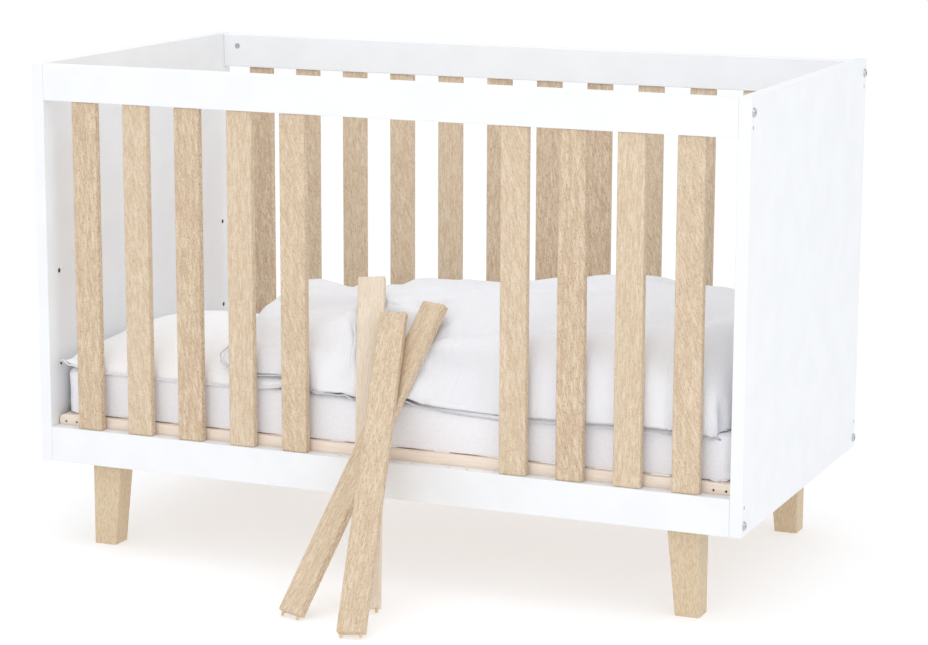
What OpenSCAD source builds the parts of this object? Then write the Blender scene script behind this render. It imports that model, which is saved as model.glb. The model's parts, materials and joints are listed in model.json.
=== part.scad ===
// Baby crib with slatted sides, three take-out slats, tapered legs and a height-adjustable slatted base.
// X runs along the crib, -Y is the front side, Z is up. The origin is on the floor under the crib's centre.

/* [Crib] */
// Length over the end panels
crib_l = 1450; // [1300:1:1500]
// Width over the front and back rails
crib_w = 772; // [700:1:800]
// Thickness of an end panel
panel_t = 23.5; // [18:0.5:28]
// Height of an end panel
panel_h = 791; // [750:1:850]
// Radius on the edges of the panels and rails
board_edge_r = 2; // [1:0.5:3]

/* [Rails] */
// Height of a rail
rail_h = 70; // [64:1:90]
// Thickness of a rail
rail_t = 28; // [26:0.5:34]
// Step from the top of the panels down to the top of the rails
rail_drop = 3; // [0:0.5:8]

/* [Slats] */
// Number of slats on each side
slats_a_side = 12; // [12:1:13]
// Width of a slat
slat_w = 52.5; // [45:0.5:56]
// Thickness of a slat
slat_t = 18; // [14:0.5:19]
// Radius on the edges of a slat
slat_edge_r = 3; // [1:0.5:5]
// Length of a take-out slat that stays inside the top rail
slat_entry = 6; // [4:0.5:8]
// Diameter of the two pins in the foot of a take-out slat
pin_d = 6; // [5:0.5:8]
// Length of those pins below the slat
pin_len = 8; // [6:0.5:10]
// Distance between the two pins
pin_gap = 37; // [30:1:40]

/* [Legs] */
// Height of the underside of the end panels above the floor
leg_clear = 172; // [120:1:220]
// Width of a leg at the floor
leg_foot_w = 47; // [36:1:56]
// Slope of the leg's inner side, in degrees
leg_taper = 6.2; // [0:0.1:10]
// Depth of a leg
leg_d = 48; // [36:1:60]
// Distance from the crib's centre to the outer side of a leg, along the crib
leg_x = 634.5; // [500:0.5:640]
// Distance from the crib's centre to the front side of a leg, across the crib
leg_y = 341; // [300:1:345]
// Height of the leg's top above the underside of the panels
leg_rise = 46; // [40:1:48]

/* [Slatted base] */
// Height of a side beam
beam_h = 40; // [36:1:44]
// Thickness of a side beam
beam_t = 28; // [24:1:32]
// Height of the side beams' top above the floor, in the lowest position
beam_top = 262; // [260:1:280]
// Number of laths
laths = 12; // [8:1:13]
// Width of a lath
lath_w = 60; // [40:1:60]
// Thickness of a lath
lath_t = 12; // [8:1:14]
// Heights of the three support positions above the floor
peg_z = [233, 364, 549];

/* [Bedding] */
// Thickness of the mattress
mattress_h = 89; // [60:1:110]
// Length of the mattress
mattress_l = 1390; // [1200:1:1395]
// Width of the mattress
mattress_w = 694; // [600:1:698]

/* [Hidden] */
$fn = 48;
eps = 0.01;

rail_l = crib_l - 2*panel_t;                    // clear length between the end panels
panel_x = rail_l/2;                             // inner face of an end panel
crib_top = leg_clear + panel_h;
rail_y = crib_w/2 - rail_t/2;                   // middle plane of a side
rail_in = crib_w/2 - rail_t;                    // inner face of a rail
bottom_rail_top = leg_clear + rail_h;
top_rail_foot = crib_top - rail_drop - rail_h;
slat_len = top_rail_foot - bottom_rail_top;     // clear height between the rails
slat_gap = (rail_l - slats_a_side*slat_w)/(slats_a_side + 1);
loose_len = slat_len + slat_entry;

// the slats that come out, and where each stands when it leans on the front side:
// number, foot x, foot y, lean to the back, lean to the right, turn about its own length
leaning = [
    [6, -47, -638, 36.5, 10.5, 12],
    [7,  67, -558, 30, -12, -13.5],
    [8, 105, -704, 39.4, -9, -3.5],
];
loose = [for (s = leaning) s[0]];
fixed_front = [for (i = [1:slats_a_side]) if (len(search(i, loose)) == 0) i];
floor_clear = 0.2;                              // gap kept between a leaning slat's pins and the floor

// dowels
dowel_d = 8;
dowel_len = 30;
dowel_fit = 0.2;                                // wider than the dowel, on the diameter
slat_dowel_gap = 30;

// corner bolts: one through the panel into each rail end, with a barrel nut
bolt_d = 6;
bolt_hole_d = 7;
bolt_head_d = 18;
bolt_head_h = 3.6;
bolt_reach = 48;                                // from the rail end
top_bolt_drop = 25;                             // below the top rail's top
bottom_bolt_rise = 20.5;                        // above the bottom rail's foot
nut_d = 12;
nut_len = 20;
nut_in = 33.5;                                  // from the rail end
top_bolt_z = top_rail_foot + rail_h - top_bolt_drop;
bottom_bolt_z = leg_clear + bottom_bolt_rise;
top_dowel_z = top_rail_foot + 18;
bottom_dowel_z = bottom_rail_top - 16;

// base supports
beam_y = rail_in - 2 - beam_t/2;                // middle of a side beam
beam_l = rail_l - 4;
beam_foot = beam_top - beam_h;
insert_d = 10;
insert_len = 12;
peg_d = 8;
peg_out = 12;                                   // length of a peg inside the crib
notch_w = 9;
notch_in = 15;
rebate_w = 14;
lath_drop = 2;                                  // laths lie this much below the beams' tops
crossbar_w = 48;
crossbar_t = 24;
crossbar_x = beam_l/2 - 2 - crossbar_w/2;
screw_gap = 24;
screw_z = beam_top - 14;
screw_d = 4.6;
screw_len = 58;
screw_sink = 4;
lath_field = 2*(crossbar_x - crossbar_w/2 - 20);

// leg fixings
brace_t = 28;
brace_h = 42;
brace_foot = leg_clear + 3;
leg_bolt_z = [leg_clear + 16, leg_clear + 34];
leg_bolt_len = 62;
leg_bolt_d = 6;
bracket_t = 2;
bracket_w = 25;
bracket_leaf = 30;

// latch pockets above the take-out slats
pocket_l = 54.5;
pocket_w = slat_t + 1.2;
pocket_h = 30;
plunger_rest = 4;                               // height of the plunger's face in the pocket
plunger_h = 8;
stem_d = 5;
stem_hole_d = 6;
stem_len = 28;
stem_hole_len = 24;
plunger_z = top_rail_foot + plunger_rest;
spring_d = 11;
spring_wire = 1;
spring_turns = 5;
spring_z0 = plunger_z + plunger_h;
spring_z1 = top_rail_foot + pocket_h;

// bedding
mattress_z = beam_top + 0.3;
mattress_r = 55;
mattress_edge = 18;
mattress_top = mattress_z + mattress_h;
soft_gap = 0.6;
pillow_x0 = -694;
pillow_x1 = -262;
duvet_x0 = -250;
duvet_x1 = 694;

function slat_x(i) = -rail_l/2 + slat_gap + slat_w/2 + (i - 1)*(slat_w + slat_gap);

// ---- shared shapes ----

module rounded_rect(w, h, r) {
    square([w - 2*r, h], center = true);
    square([w, h - 2*r], center = true);
    for (x = [-1, 1], y = [-1, 1])
        translate([x*(w/2 - r), y*(h/2 - r)]) circle(r);
}

// block of size [x, y, z] about the origin, with every edge rounded
module board(size, r) {
    intersection() {
        linear_extrude(size.z, center = true) rounded_rect(size.x, size.y, r);
        rotate([90, 0, 0]) linear_extrude(size.y, center = true) rounded_rect(size.x, size.z, r);
        rotate([90, 0, 90]) linear_extrude(size.x, center = true) rounded_rect(size.y, size.z, r);
    }
}

module rod_x(d, l) { rotate([0, 90, 0]) cylinder(d = d, h = l); }
module rod_y(d, l) { rotate([-90, 0, 0]) cylinder(d = d, h = l); }

// the two dowel places in the end of a fixed slat, at height z
module at_slat_dowels(i, side, z) {
    for (s = [-1, 1]) translate([slat_x(i) + s*slat_dowel_gap/2, side*rail_y, z]) children();
}

// every corner of the frame: children are drawn for the end e (-1 left) and the side s (-1 front)
module at_rail_ends(z) {
    for (e = [-1, 1], s = [-1, 1]) translate([e*panel_x, s*rail_y, z]) scale([e, 1, 1]) children();
}

// ---- end panels ----

module end_panel(e) {
    color("#f3f5f7") difference() {
        translate([e*(panel_x + panel_t/2), 0, leg_clear + panel_h/2])
            board([panel_t, crib_w, panel_h], board_edge_r);
        for (s = [-1, 1]) {
            for (z = [top_bolt_z, bottom_bolt_z])
                translate([e*(panel_x + panel_t/2) - panel_t, s*rail_y, z]) rod_x(bolt_hole_d, 2*panel_t);
            for (z = [top_dowel_z, bottom_dowel_z])
                translate([e*(panel_x + dowel_len/2 - 4) - dowel_len/2, s*rail_y, z])
                    rod_x(dowel_d + dowel_fit, dowel_len);
            for (z = peg_z)
                translate([e*(panel_x + insert_len/2) - insert_len/2 - eps, s*beam_y, z])
                    rod_x(insert_d + 0.1, insert_len + 2*eps);
        }
    }
}

// ---- rails ----

// holes in both ends of a rail for the corner bolt, its barrel nut and the dowel
module rail_end_holes(s, bolt_z, dowel_z) {
    for (e = [-1, 1]) {
        translate([e*(panel_x - bolt_reach/2) - bolt_reach/2 - 1, s*rail_y, bolt_z])
            rod_x(bolt_hole_d, bolt_reach + 2);
        translate([e*(panel_x - nut_in), s*(rail_in + (nut_len + 2)/2 - 1) - (nut_len + 2)/2, bolt_z])
            rod_y(nut_d + 0.1, nut_len + 2);
        translate([e*(panel_x - dowel_len/2) - dowel_len/2, s*rail_y, dowel_z])
            rod_x(dowel_d + dowel_fit, dowel_len);
    }
}

module rail(s, z, bolt_z, dowel_z) {
    difference() {
        translate([0, s*rail_y, z + rail_h/2]) board([rail_l, rail_t, rail_h], board_edge_r);
        rail_end_holes(s, bolt_z, dowel_z);
    }
}

// dowel holes along the rail's face at height z, for the slats in the list
module slat_dowel_holes(s, list, z) {
    for (i = list) at_slat_dowels(i, s, z - dowel_len/2) cylinder(d = dowel_d + dowel_fit, h = dowel_len);
}

module latch_pocket(i) {
    translate([slat_x(i), -rail_y, top_rail_foot - 1]) {
        linear_extrude(pocket_h + 1) square([pocket_l, pocket_w], center = true);
        cylinder(d = stem_hole_d, h = pocket_h + stem_hole_len + 1);
    }
}

module front_top_rail() {
    color("#f5f7fa") difference() {
        rail(-1, top_rail_foot, top_bolt_z, top_dowel_z);
        slat_dowel_holes(-1, fixed_front, top_rail_foot);
        for (i = loose) latch_pocket(i);
    }
}

module front_bottom_rail() {
    color("#f5f7fa") difference() {
        rail(-1, leg_clear, bottom_bolt_z, bottom_dowel_z);
        slat_dowel_holes(-1, fixed_front, bottom_rail_top);
        for (i = loose, s = [-1, 1])
            translate([slat_x(i) + s*pin_gap/2, -rail_y, bottom_rail_top - pin_len - 2])
                cylinder(d = pin_d + 0.4, h = pin_len + 3);
    }
}

module back_top_rail() {
    color("#f5f7fa") difference() {
        rail(1, top_rail_foot, top_bolt_z, top_dowel_z);
        slat_dowel_holes(1, [1:slats_a_side], top_rail_foot);
    }
}

module back_bottom_rail() {
    color("#f5f7fa") difference() {
        rail(1, leg_clear, bottom_bolt_z, bottom_dowel_z);
        slat_dowel_holes(1, [1:slats_a_side], bottom_rail_top);
    }
}

// ---- slats ----

module fixed_slat(i, s) {
    color("#d9c2a0") difference() {
        translate([slat_x(i), s*rail_y, bottom_rail_top + slat_len/2])
            board([slat_w, slat_t, slat_len], slat_edge_r);
        for (z = [bottom_rail_top, top_rail_foot])
            at_slat_dowels(i, s, z - dowel_len/2) cylinder(d = dowel_d + dowel_fit, h = dowel_len);
    }
}

// height of a point of a leaning slat above its own foot, for lean a, side lean b and turn c
function leaned_z(p, a, b, c) =
    (p.x*sin(c) - p.y*cos(c))*sin(a) + (p.z*cos(b) - (p.x*cos(c) + p.y*sin(c))*sin(b))*cos(a);

// height of the foot at which the lower pin stands on the floor
function foot_z(s) =
    let (ends = [for (k = [-1, 1]) leaned_z([k*pin_gap/2, 0, -pin_len], s[3], s[4], s[5])],
         tilt = sqrt(1 - pow(cos(s[3])*cos(s[4]), 2)))
    floor_clear + pin_d/2*tilt - min(ends);

// stands the children, drawn upright with the foot at the origin, where slat s leans
module lean(s) {
    translate([s[1], s[2], foot_z(s)])
        rotate([-s[3], 0, 0]) rotate([0, s[4], 0]) rotate([0, 0, -s[5]]) children();
}

module takeout_slat(s) {
    color("#d9c2a0") lean(s) difference() {
        translate([0, 0, loose_len/2]) board([slat_w, slat_t, loose_len], slat_edge_r);
        for (k = [-1, 1]) translate([k*pin_gap/2, 0, -1]) cylinder(d = pin_d + 0.1, h = 3*pin_len + 1.2);
    }
}

module takeout_slat_pins(s) {
    color("#e6c9a4") lean(s) for (k = [-1, 1]) translate([k*pin_gap/2, 0, -pin_len]) {
        cylinder(d1 = pin_d - 2, d2 = pin_d, h = 1.2);
        translate([0, 0, 1.2]) cylinder(d = pin_d, h = 4*pin_len - 1.2);
    }
}

// ---- latch of a take-out slat ----

module latch_plunger(i) {
    color("#e9e9e6") translate([slat_x(i), -rail_y, plunger_z]) {
        translate([0, 0, plunger_h/2]) board([pocket_l - 1.4, pocket_w - 1, plunger_h], 1);
        translate([0, 0, plunger_h - 1]) cylinder(d = stem_d, h = stem_len + 1);
    }
}

// coil spring around the plunger's stem: rings of ring_n points swept along the helix
module latch_spring(i) {
    steps = 14*spring_turns;
    ring_n = 6;
    r = (spring_d - spring_wire)/2;
    rise = spring_z1 - spring_z0 - spring_wire - 0.4;
    points = [for (k = [0:steps], j = [0:ring_n - 1])
        let (a = 360*spring_turns*k/steps, b = 360*j/ring_n, q = r + spring_wire/2*cos(b))
        [q*cos(a), q*sin(a), rise*k/steps + spring_wire/2*sin(b)]];
    sides = [for (k = [0:steps - 1], j = [0:ring_n - 1])
        let (a = k*ring_n + j, b = k*ring_n + (j + 1)%ring_n)
        [a, b, b + ring_n, a + ring_n]];
    ends = [[for (j = [ring_n - 1:-1:0]) j], [for (j = [0:ring_n - 1]) steps*ring_n + j]];
    color("silver") translate([slat_x(i), -rail_y, spring_z0 + spring_wire/2 + 0.2])
        polyhedron(points, concat([for (f = sides) [f[3], f[2], f[1], f[0]]],
                                  [for (f = ends) [for (n = [len(f) - 1:-1:0]) f[n]]]), convexity = 8);
}

// ---- dowels, corner bolts ----

module slat_and_rail_dowels() {
    end_gap = 1;
    color("#e3c79f") {
        for (z = [bottom_rail_top, top_rail_foot]) {
            for (i = fixed_front)
                at_slat_dowels(i, -1, z - dowel_len/2 + end_gap) cylinder(d = dowel_d, h = dowel_len - 2*end_gap);
            for (i = [1:slats_a_side])
                at_slat_dowels(i, 1, z - dowel_len/2 + end_gap) cylinder(d = dowel_d, h = dowel_len - 2*end_gap);
        }
        for (z = [top_dowel_z, bottom_dowel_z]) at_rail_ends(z)
            translate([-dowel_len + end_gap + 4, 0, 0]) rod_x(dowel_d, dowel_len + 6 - 2*end_gap);
    }
}

module corner_bolts_and_nuts() {
    socket_d = 5;
    shank_len = panel_t + bolt_reach - 2;
    color("silver") for (z = [top_bolt_z, bottom_bolt_z]) at_rail_ends(z) {
        difference() {
            union() {
                translate([panel_t - shank_len, 0, 0]) rod_x(bolt_d, shank_len);
                translate([panel_t, 0, 0]) rotate([0, 90, 0])
                    cylinder(d1 = bolt_head_d, d2 = bolt_head_d - 5, h = bolt_head_h);
            }
            translate([panel_t + bolt_head_h - 2.6, 0, 0]) rotate([0, 90, 0]) cylinder(d = socket_d, h = 3, $fn = 6);
        }
    }
    color("silver") for (s = [-1, 1], e = [-1, 1], z = [top_bolt_z, bottom_bolt_z]) difference() {
        translate([e*(panel_x - nut_in), s*(rail_in + nut_len/2) - nut_len/2, z]) rod_y(nut_d, nut_len);
        translate([e*(panel_x - nut_in) - nut_d, s*rail_y, z]) rod_x(bolt_d + 0.1, 2*nut_d);
        translate([e*(panel_x - nut_in), s*rail_in - 1.5, z]) rotate([-90, 0, 0])
            linear_extrude(3) square([nut_d + 1, 1.6], center = true);
    }
}

// ---- legs ----

// leg on the right front; the other three are mirrored
module leg_shape() {
    top = leg_clear + leg_rise;
    wide = 2*leg_foot_w;
    edge_r = 3;
    difference() {
        intersection() {
            // vertical outer side
            translate([leg_x - wide/2, -leg_y + leg_d/2, top/2])
                linear_extrude(top, center = true) rounded_rect(wide, leg_d, edge_r);
            // sloping inner side
            translate([leg_x - leg_foot_w, -leg_y + leg_d/2, 0]) rotate([0, -leg_taper, 0])
                translate([wide, 0, 0]) linear_extrude(3*top, center = true)
                    rounded_rect(2*wide, leg_d, edge_r);
        }
        for (z = leg_bolt_z) translate([leg_x - leg_bolt_len + brace_t - 2, -leg_y + leg_d/2, z])
            rod_x(leg_bolt_d + 0.2, leg_bolt_len);
    }
}

module leg(e, s) {
    color("#d2ab7c") scale([e, 1, 1]) scale([1, -s, 1]) leg_shape();
}

module leg_brace(e) {
    color("#e2c6a2") difference() {
        translate([e*(leg_x + brace_t/2), 0, brace_foot + brace_h/2])
            board([brace_t, 2*rail_in, brace_h], board_edge_r);
        for (s = [-1, 1], z = leg_bolt_z)
            translate([e*(leg_x + brace_t/2) - brace_t, s*(leg_y - leg_d/2), z])
                rod_x(leg_bolt_d + 0.2, 2*brace_t);
    }
}

module leg_bolts() {
    head_d = 12;
    head_h = 3.3;
    color("silver") for (e = [-1, 1], s = [-1, 1], z = leg_bolt_z) scale([e, 1, 1]) difference() {
        translate([leg_x + brace_t, s*(leg_y - leg_d/2), z]) {
            translate([-leg_bolt_len, 0, 0]) rod_x(leg_bolt_d, leg_bolt_len);
            rotate([0, 90, 0]) cylinder(d1 = head_d, d2 = head_d - 4, h = head_h);
        }
        translate([leg_x + brace_t + head_h - 2, s*(leg_y - leg_d/2), z]) rotate([0, 90, 0])
            cylinder(d = 4, h = 3, $fn = 6);
    }
}

// steel angles that hold the braces to the rails, each with two screws
module leg_brackets() {
    z0 = brace_foot + (brace_h - bracket_w)/2;
    outer = leg_x + brace_t;
    screw_hole = 4;
    color("silver") for (e = [-1, 1], s = [-1, 1]) scale([e, 1, 1]) scale([1, s, 1]) difference() {
        translate([outer, rail_in, z0]) linear_extrude(bracket_w) {
            translate([0, -bracket_leaf]) square([bracket_t, bracket_leaf]);
            translate([0, -bracket_t]) square([bracket_leaf, bracket_t]);
        }
        translate([outer - 1, rail_in - bracket_leaf*0.75, z0 + bracket_w/2]) rod_x(screw_hole, 4);
        translate([outer + bracket_leaf*0.6, rail_in - 3, z0 + bracket_w/2]) rod_y(screw_hole, 4);
    }
}

// ---- slatted base ----

module beam_outline() {
    corner_r = 10;
    translate([-beam_l/2, 0]) square([beam_l, beam_h - corner_r]);
    translate([-beam_l/2 + corner_r, 0]) square([beam_l - 2*corner_r, beam_h]);
    for (e = [-1, 1]) translate([e*(beam_l/2 - corner_r), beam_h - corner_r]) circle(corner_r);
}

module base_beam(s) {
    field = lath_field + 4;
    color("#ebcfb3") difference() {
        translate([0, s*beam_y + beam_t/2, beam_foot]) rotate([90, 0, 0]) linear_extrude(beam_t) beam_outline();
        // rebate that the laths lie in
        translate([-field/2, s*(beam_y - beam_t/2 + rebate_w/2) - rebate_w/2 - (s > 0 ? 1 : 0),
                   beam_top - lath_drop - lath_t])
            cube([field, rebate_w + 1, lath_t + lath_drop + 1]);
        // notches that drop over the support pegs
        for (e = [-1, 1]) {
            translate([e*(beam_l/2 - notch_in/2) - notch_in/2 - 1, s*beam_y - notch_w/2, beam_foot - 1])
                cube([notch_in + 2, notch_w, peg_z[0] - beam_foot + 1]);
            translate([e*(beam_l/2 - notch_in/2) - notch_in/2 - 1, s*beam_y, peg_z[0]])
                rod_x(notch_w, notch_in + 2);
        }
        base_screw_places() rod_y(screw_d + 0.2, screw_len + screw_sink + 1);
    }
}

// children are drawn from the outer face of each side beam inwards
module base_screw_places() {
    for (e = [-1, 1], k = [-1, 1], s = [-1, 1])
        translate([e*(crossbar_x + k*screw_gap/2), s*(beam_y + beam_t/2), screw_z])
            scale([1, -s, 1]) children();
}

module base_crossbar(e) {
    span = 2*(beam_y - beam_t/2);
    color("#ebcfb3") difference() {
        translate([e*crossbar_x, 0, screw_z]) board([crossbar_w, span, crossbar_t], 1.5);
        base_screw_places() rod_y(screw_d + 0.2, screw_len + screw_sink + 1);
    }
}

module base_screws() {
    color("dimgray") base_screw_places() difference() {
        translate([0, screw_sink, 0]) rod_y(screw_d, screw_len);
        translate([0, screw_sink - 1, 0]) rotate([-90, 0, 0]) cylinder(d = 3, h = 3.5, $fn = 6);
    }
}

module base_laths() {
    step = (lath_field - lath_w)/(laths - 1);
    lath_l = 2*(beam_y - beam_t/2 + rebate_w - 1);
    color("#efd8bd") for (i = [0:laths - 1])
        translate([-lath_field/2 + lath_w/2 + i*step, 0, beam_top - lath_drop - lath_t/2])
            board([lath_w, lath_l, lath_t], 1.5);
}

module base_pegs_and_inserts() {
    color("silver") for (e = [-1, 1], s = [-1, 1]) scale([e, 1, 1]) {
        for (z = peg_z) translate([panel_x, s*beam_y, z]) difference() {
            rod_x(insert_d, insert_len - 0.5);
            translate([-1, 0, 0]) rod_x(peg_d + 0.1, insert_len - 1);
        }
        translate([panel_x - peg_out, s*beam_y, peg_z[0]]) rod_x(peg_d, peg_out + insert_len - 3);
    }
}

// ---- bedding, as plain solids ----

module mattress() {
    color("#f4f3f8") hull() for (x = [-1, 1], y = [-1, 1])
        translate([x*(mattress_l/2 - mattress_r), y*(mattress_w/2 - mattress_r), mattress_z]) {
            translate([0, 0, mattress_edge]) cylinder(r = mattress_r, h = mattress_h - 2*mattress_edge, $fn = 32);
            cylinder(r = mattress_r - mattress_edge, h = mattress_h, $fn = 32);
        }
}

module pillow() {
    front = -340;
    back = 75;
    rim = 14;
    loft = 94;
    crown_r = 60;
    crown_in = 135;      // from the pillow's edge to the middle of a rounded corner of its crown
    color("#f7f7fa") hull() {
        for (x = [pillow_x0 + rim, pillow_x1 - rim], y = [front + rim, back - rim])
            translate([x, y, mattress_top + soft_gap + 2*rim]) sphere(rim, $fn = 24);
        for (x = [pillow_x0 + crown_in, pillow_x1 - crown_in], y = [front + crown_in, back - crown_in])
            translate([x, y, mattress_top + soft_gap]) cylinder(r = crown_r, h = loft, $fn = 32);
    }
}

module duvet() {
    front = -324;
    back = 344;
    rim = 14;
    // spheres under the crest: x, y, radius, height of their top above the mattress
    ridge = [[-80, -80, 60, 182], [260, -80, 70, 212], [540, -80, 70, 222], [540, 180, 50, 150], [-80, 180, 40, 110]];
    color("#fafafc") hull() {
        for (x = [duvet_x0 + rim, duvet_x1 - rim], y = [front + rim, back - rim])
            translate([x, y, mattress_top + soft_gap + rim]) sphere(rim, $fn = 24);
        for (p = ridge) translate([p[0], p[1], mattress_top + soft_gap + p[3] - p[2]]) sphere(p[2], $fn = 32);
    }
}

// ---- what is drawn ----

end_panel(-1);  // left_end_panel
end_panel(1);  // right_end_panel
front_top_rail();
front_bottom_rail();
back_top_rail();
back_bottom_rail();
for (i = fixed_front) fixed_slat(i, -1);
for (i = [1:slats_a_side]) fixed_slat(i, 1);
for (s = leaning) takeout_slat(s);
for (s = leaning) takeout_slat_pins(s);
for (i = loose) latch_plunger(i);
for (i = loose) latch_spring(i);
slat_and_rail_dowels();
corner_bolts_and_nuts();
leg(-1, -1);  // left_front_leg
leg(1, -1);  // right_front_leg
leg(-1, 1);  // left_back_leg
leg(1, 1);  // right_back_leg
leg_brace(-1);  // left_leg_brace
leg_brace(1);  // right_leg_brace
leg_bolts();
leg_brackets();
base_beam(-1);  // front_base_beam
base_beam(1);  // back_base_beam
base_crossbar(-1);  // left_base_crossbar
base_crossbar(1);  // right_base_crossbar
base_laths();
base_screws();
base_pegs_and_inserts();
mattress();
pillow();
duvet();
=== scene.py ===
"""Looks of the baby crib: its boards, slats, legs, slatted base, fittings and bedding."""

import json
import math

import bmesh
import bpy
from mathutils import Matrix, Vector, noise
from mathutils.bvhtree import BVHTree


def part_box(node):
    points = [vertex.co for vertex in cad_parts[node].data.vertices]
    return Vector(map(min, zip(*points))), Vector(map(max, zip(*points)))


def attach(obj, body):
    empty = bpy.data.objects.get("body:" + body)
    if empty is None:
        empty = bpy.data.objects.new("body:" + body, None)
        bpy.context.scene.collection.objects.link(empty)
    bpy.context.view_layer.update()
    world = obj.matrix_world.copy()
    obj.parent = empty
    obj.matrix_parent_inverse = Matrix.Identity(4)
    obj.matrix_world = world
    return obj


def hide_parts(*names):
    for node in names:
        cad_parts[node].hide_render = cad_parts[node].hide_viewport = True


bl_info = {
    "name": "Baby Crib",
    "version": (1, 0, 0),
    "blender": (4, 5, 0),
    "location": "3D View > Sidebar > Crib",
    "description": "Finishes the frame of a slatted baby crib and makes its bedding",
    "category": "Object",
}

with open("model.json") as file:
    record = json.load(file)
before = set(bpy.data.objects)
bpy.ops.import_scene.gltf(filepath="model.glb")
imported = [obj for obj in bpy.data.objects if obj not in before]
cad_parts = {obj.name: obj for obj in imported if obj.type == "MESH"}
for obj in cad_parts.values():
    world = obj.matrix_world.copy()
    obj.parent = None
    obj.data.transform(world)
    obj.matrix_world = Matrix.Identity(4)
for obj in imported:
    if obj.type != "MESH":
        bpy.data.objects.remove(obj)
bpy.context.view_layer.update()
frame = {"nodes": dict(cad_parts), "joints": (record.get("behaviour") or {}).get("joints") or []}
MM = 0.001
MATTRESS_LOW, MATTRESS_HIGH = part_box("mattress")
PILLOW_LOW, PILLOW_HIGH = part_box("pillow")
DUVET_LOW, DUVET_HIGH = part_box("duvet")
BEDDING = "bedding"
# a wave texture whose scale is WAVE over a distance draws its lines that far apart
WAVE = 0.314


def sorted_nodes(start):
    """The CAD nodes whose names begin with start, in order."""
    return sorted(name for name in frame["nodes"] if name.startswith(start))


def linear(hex_colour):
    """Linear red, green and blue of an sRGB colour such as "D8C0A0"."""
    channels = [int(hex_colour[i:i + 2], 16) / 255 for i in (0, 2, 4)]
    return tuple(c / 12.92 if c <= 0.04045 else ((c + 0.055) / 1.055) ** 2.4 for c in channels)


def paint(name, description, hex_colour):
    """A colour that the user can change."""
    return bpy.props.FloatVectorProperty(
        name=name, description=description, subtype="COLOR", size=3, min=0, max=1, default=linear(hex_colour)
    )


def length(name, description, default, low, high):
    """A length that the user can change, in metres."""
    return bpy.props.FloatProperty(
        name=name, description=description, unit="LENGTH", min=low, max=high, default=default
    )


def amount(name, description, default, high):
    """A strength or a power in watts that the user can change."""
    return bpy.props.FloatProperty(name=name, description=description, min=0, max=high, default=default)


class CribFinishes(bpy.types.PropertyGroup):
    """Colours of the crib's finishes."""

    lacquer: paint("Lacquer", "White lacquer on the end panels and rails", "F1F2F4")
    slat_light: paint("Slat, light", "Light fibres of the oak decor foil", "E3D1B6")
    slat_dark: paint("Slat, dark", "Late wood of the oak decor foil", "C0A385")
    slat_pore: paint("Slat, pores", "Pores of the oak decor foil", "A38566")
    slat_saw: paint("Slat, saw marks", "Pale lines across the oak decor foil", "EFE2D0")
    leg_light: paint("Leg, light", "Early wood of the solid oak legs", "DFCBAD")
    leg_dark: paint("Leg, dark", "Late wood and pores of the solid oak legs", "B79A78")
    pine_light: paint("Pine, light", "Planed pine of the slatted base", "FDF0E2")
    pine_dark: paint("Pine, dark", "Grain of the slatted base", "F1DDCB")
    dowel: paint("Dowels", "Plain beech of the pins and dowels", "E8CBA6")
    steel: paint("Zinc", "Bright zinc on bolts, nuts, pegs and brackets", "C9CBCE")
    black_steel: paint("Black screws", "Black oxide on the base screws", "2A2A2C")
    nylon: paint("Latches", "Moulded nylon of the latch plungers", "E4E4E0")
    sheet: paint("Fitted sheet", "Jersey of the fitted sheet", "F6F5F9")
    ticking: paint("Mattress", "Woven cover of the mattress", "E9E7E2")
    # white of the pillowcase, set brighter than the duvet's same cotton: painted light that makes up for the
    # shade of the left end panel and the slats
    pillowcase_painted_light: paint("Pillowcase", "Cotton of the pillow", "FDFDFF")
    # white of the duvet cover, set greyer than the pillow's same cotton: painted shade that tones down the
    # strong light on the heap
    duvet_cover_painted_shade: paint("Duvet cover", "Cotton of the duvet", "EEEEF2")
    floor: paint("Floor", "Plain pale floor, without its glow", "D4D4D5")


class CribBedding(bpy.types.PropertyGroup):
    """Sizes of the bedding."""

    sheet_hem: length("Sheet hem", "How far the fitted sheet reaches under the mattress", 70 * MM, 0.02, 0.2)
    corner: length("Mattress corner", "Radius of the mattress's upright corners", 30 * MM, 0.02, 0.1)
    edge: length("Mattress edge", "Radius of the mattress's upper edges", 11 * MM, 0.005, 0.04)
    foot: length("Mattress foot", "Radius of the mattress's lower edges", 2.5 * MM, 0.001, 0.04)
    pillow_loft: length("Pillow loft", "Height of the pillow over the mattress", 92 * MM, 0.03, 0.12)
    duvet_loft: length("Duvet loft", "Height of the duvet over the mattress", 232 * MM, 0.08, 0.3)
    cloth_step: length("Cloth step", "Side of the cells that the cloth is made of", 11 * MM, 0.005, 0.03)
    piping: length("Piping", "Radius of the seam along the duvet and pillow", 1.6 * MM, 0.0005, 0.005)


class CribStage(bpy.types.PropertyGroup):
    """Sizes of the stage."""

    floor_side: length("Floor", "Side of the floor", 60.0, 5.0, 200.0)
    front_power: amount("Front light", "Power of the soft light before the crib", 25, 5000)
    side_power: amount("Side light", "Power of the soft light to the right", 14, 5000)
    top_power: amount("Top light", "Power of the small soft light above the pillow", 9, 5000)
    glow: amount("Floor glow", "Light that the floor gives by itself", 0.41, 2)
    sky: amount("Sky", "Brightness of the even light all round", 0.90, 3)


# ---- materials ----


def add(mat, kind, sockets=None, out=0, **settings):
    """Adds a shader node to a material and gives one of its outputs. sockets gives its inputs, by name or
    number, as values or as other nodes' outputs."""
    node = mat.node_tree.nodes.new("ShaderNode" + kind)
    for name, value in settings.items():
        setattr(node, name, value)
    for key, value in (sockets or {}).items():
        if isinstance(value, bpy.types.NodeSocket):
            mat.node_tree.links.new(value, node.inputs[key])
        else:
            node.inputs[key].default_value = value
    return node.outputs[out] if node.outputs else node


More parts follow.
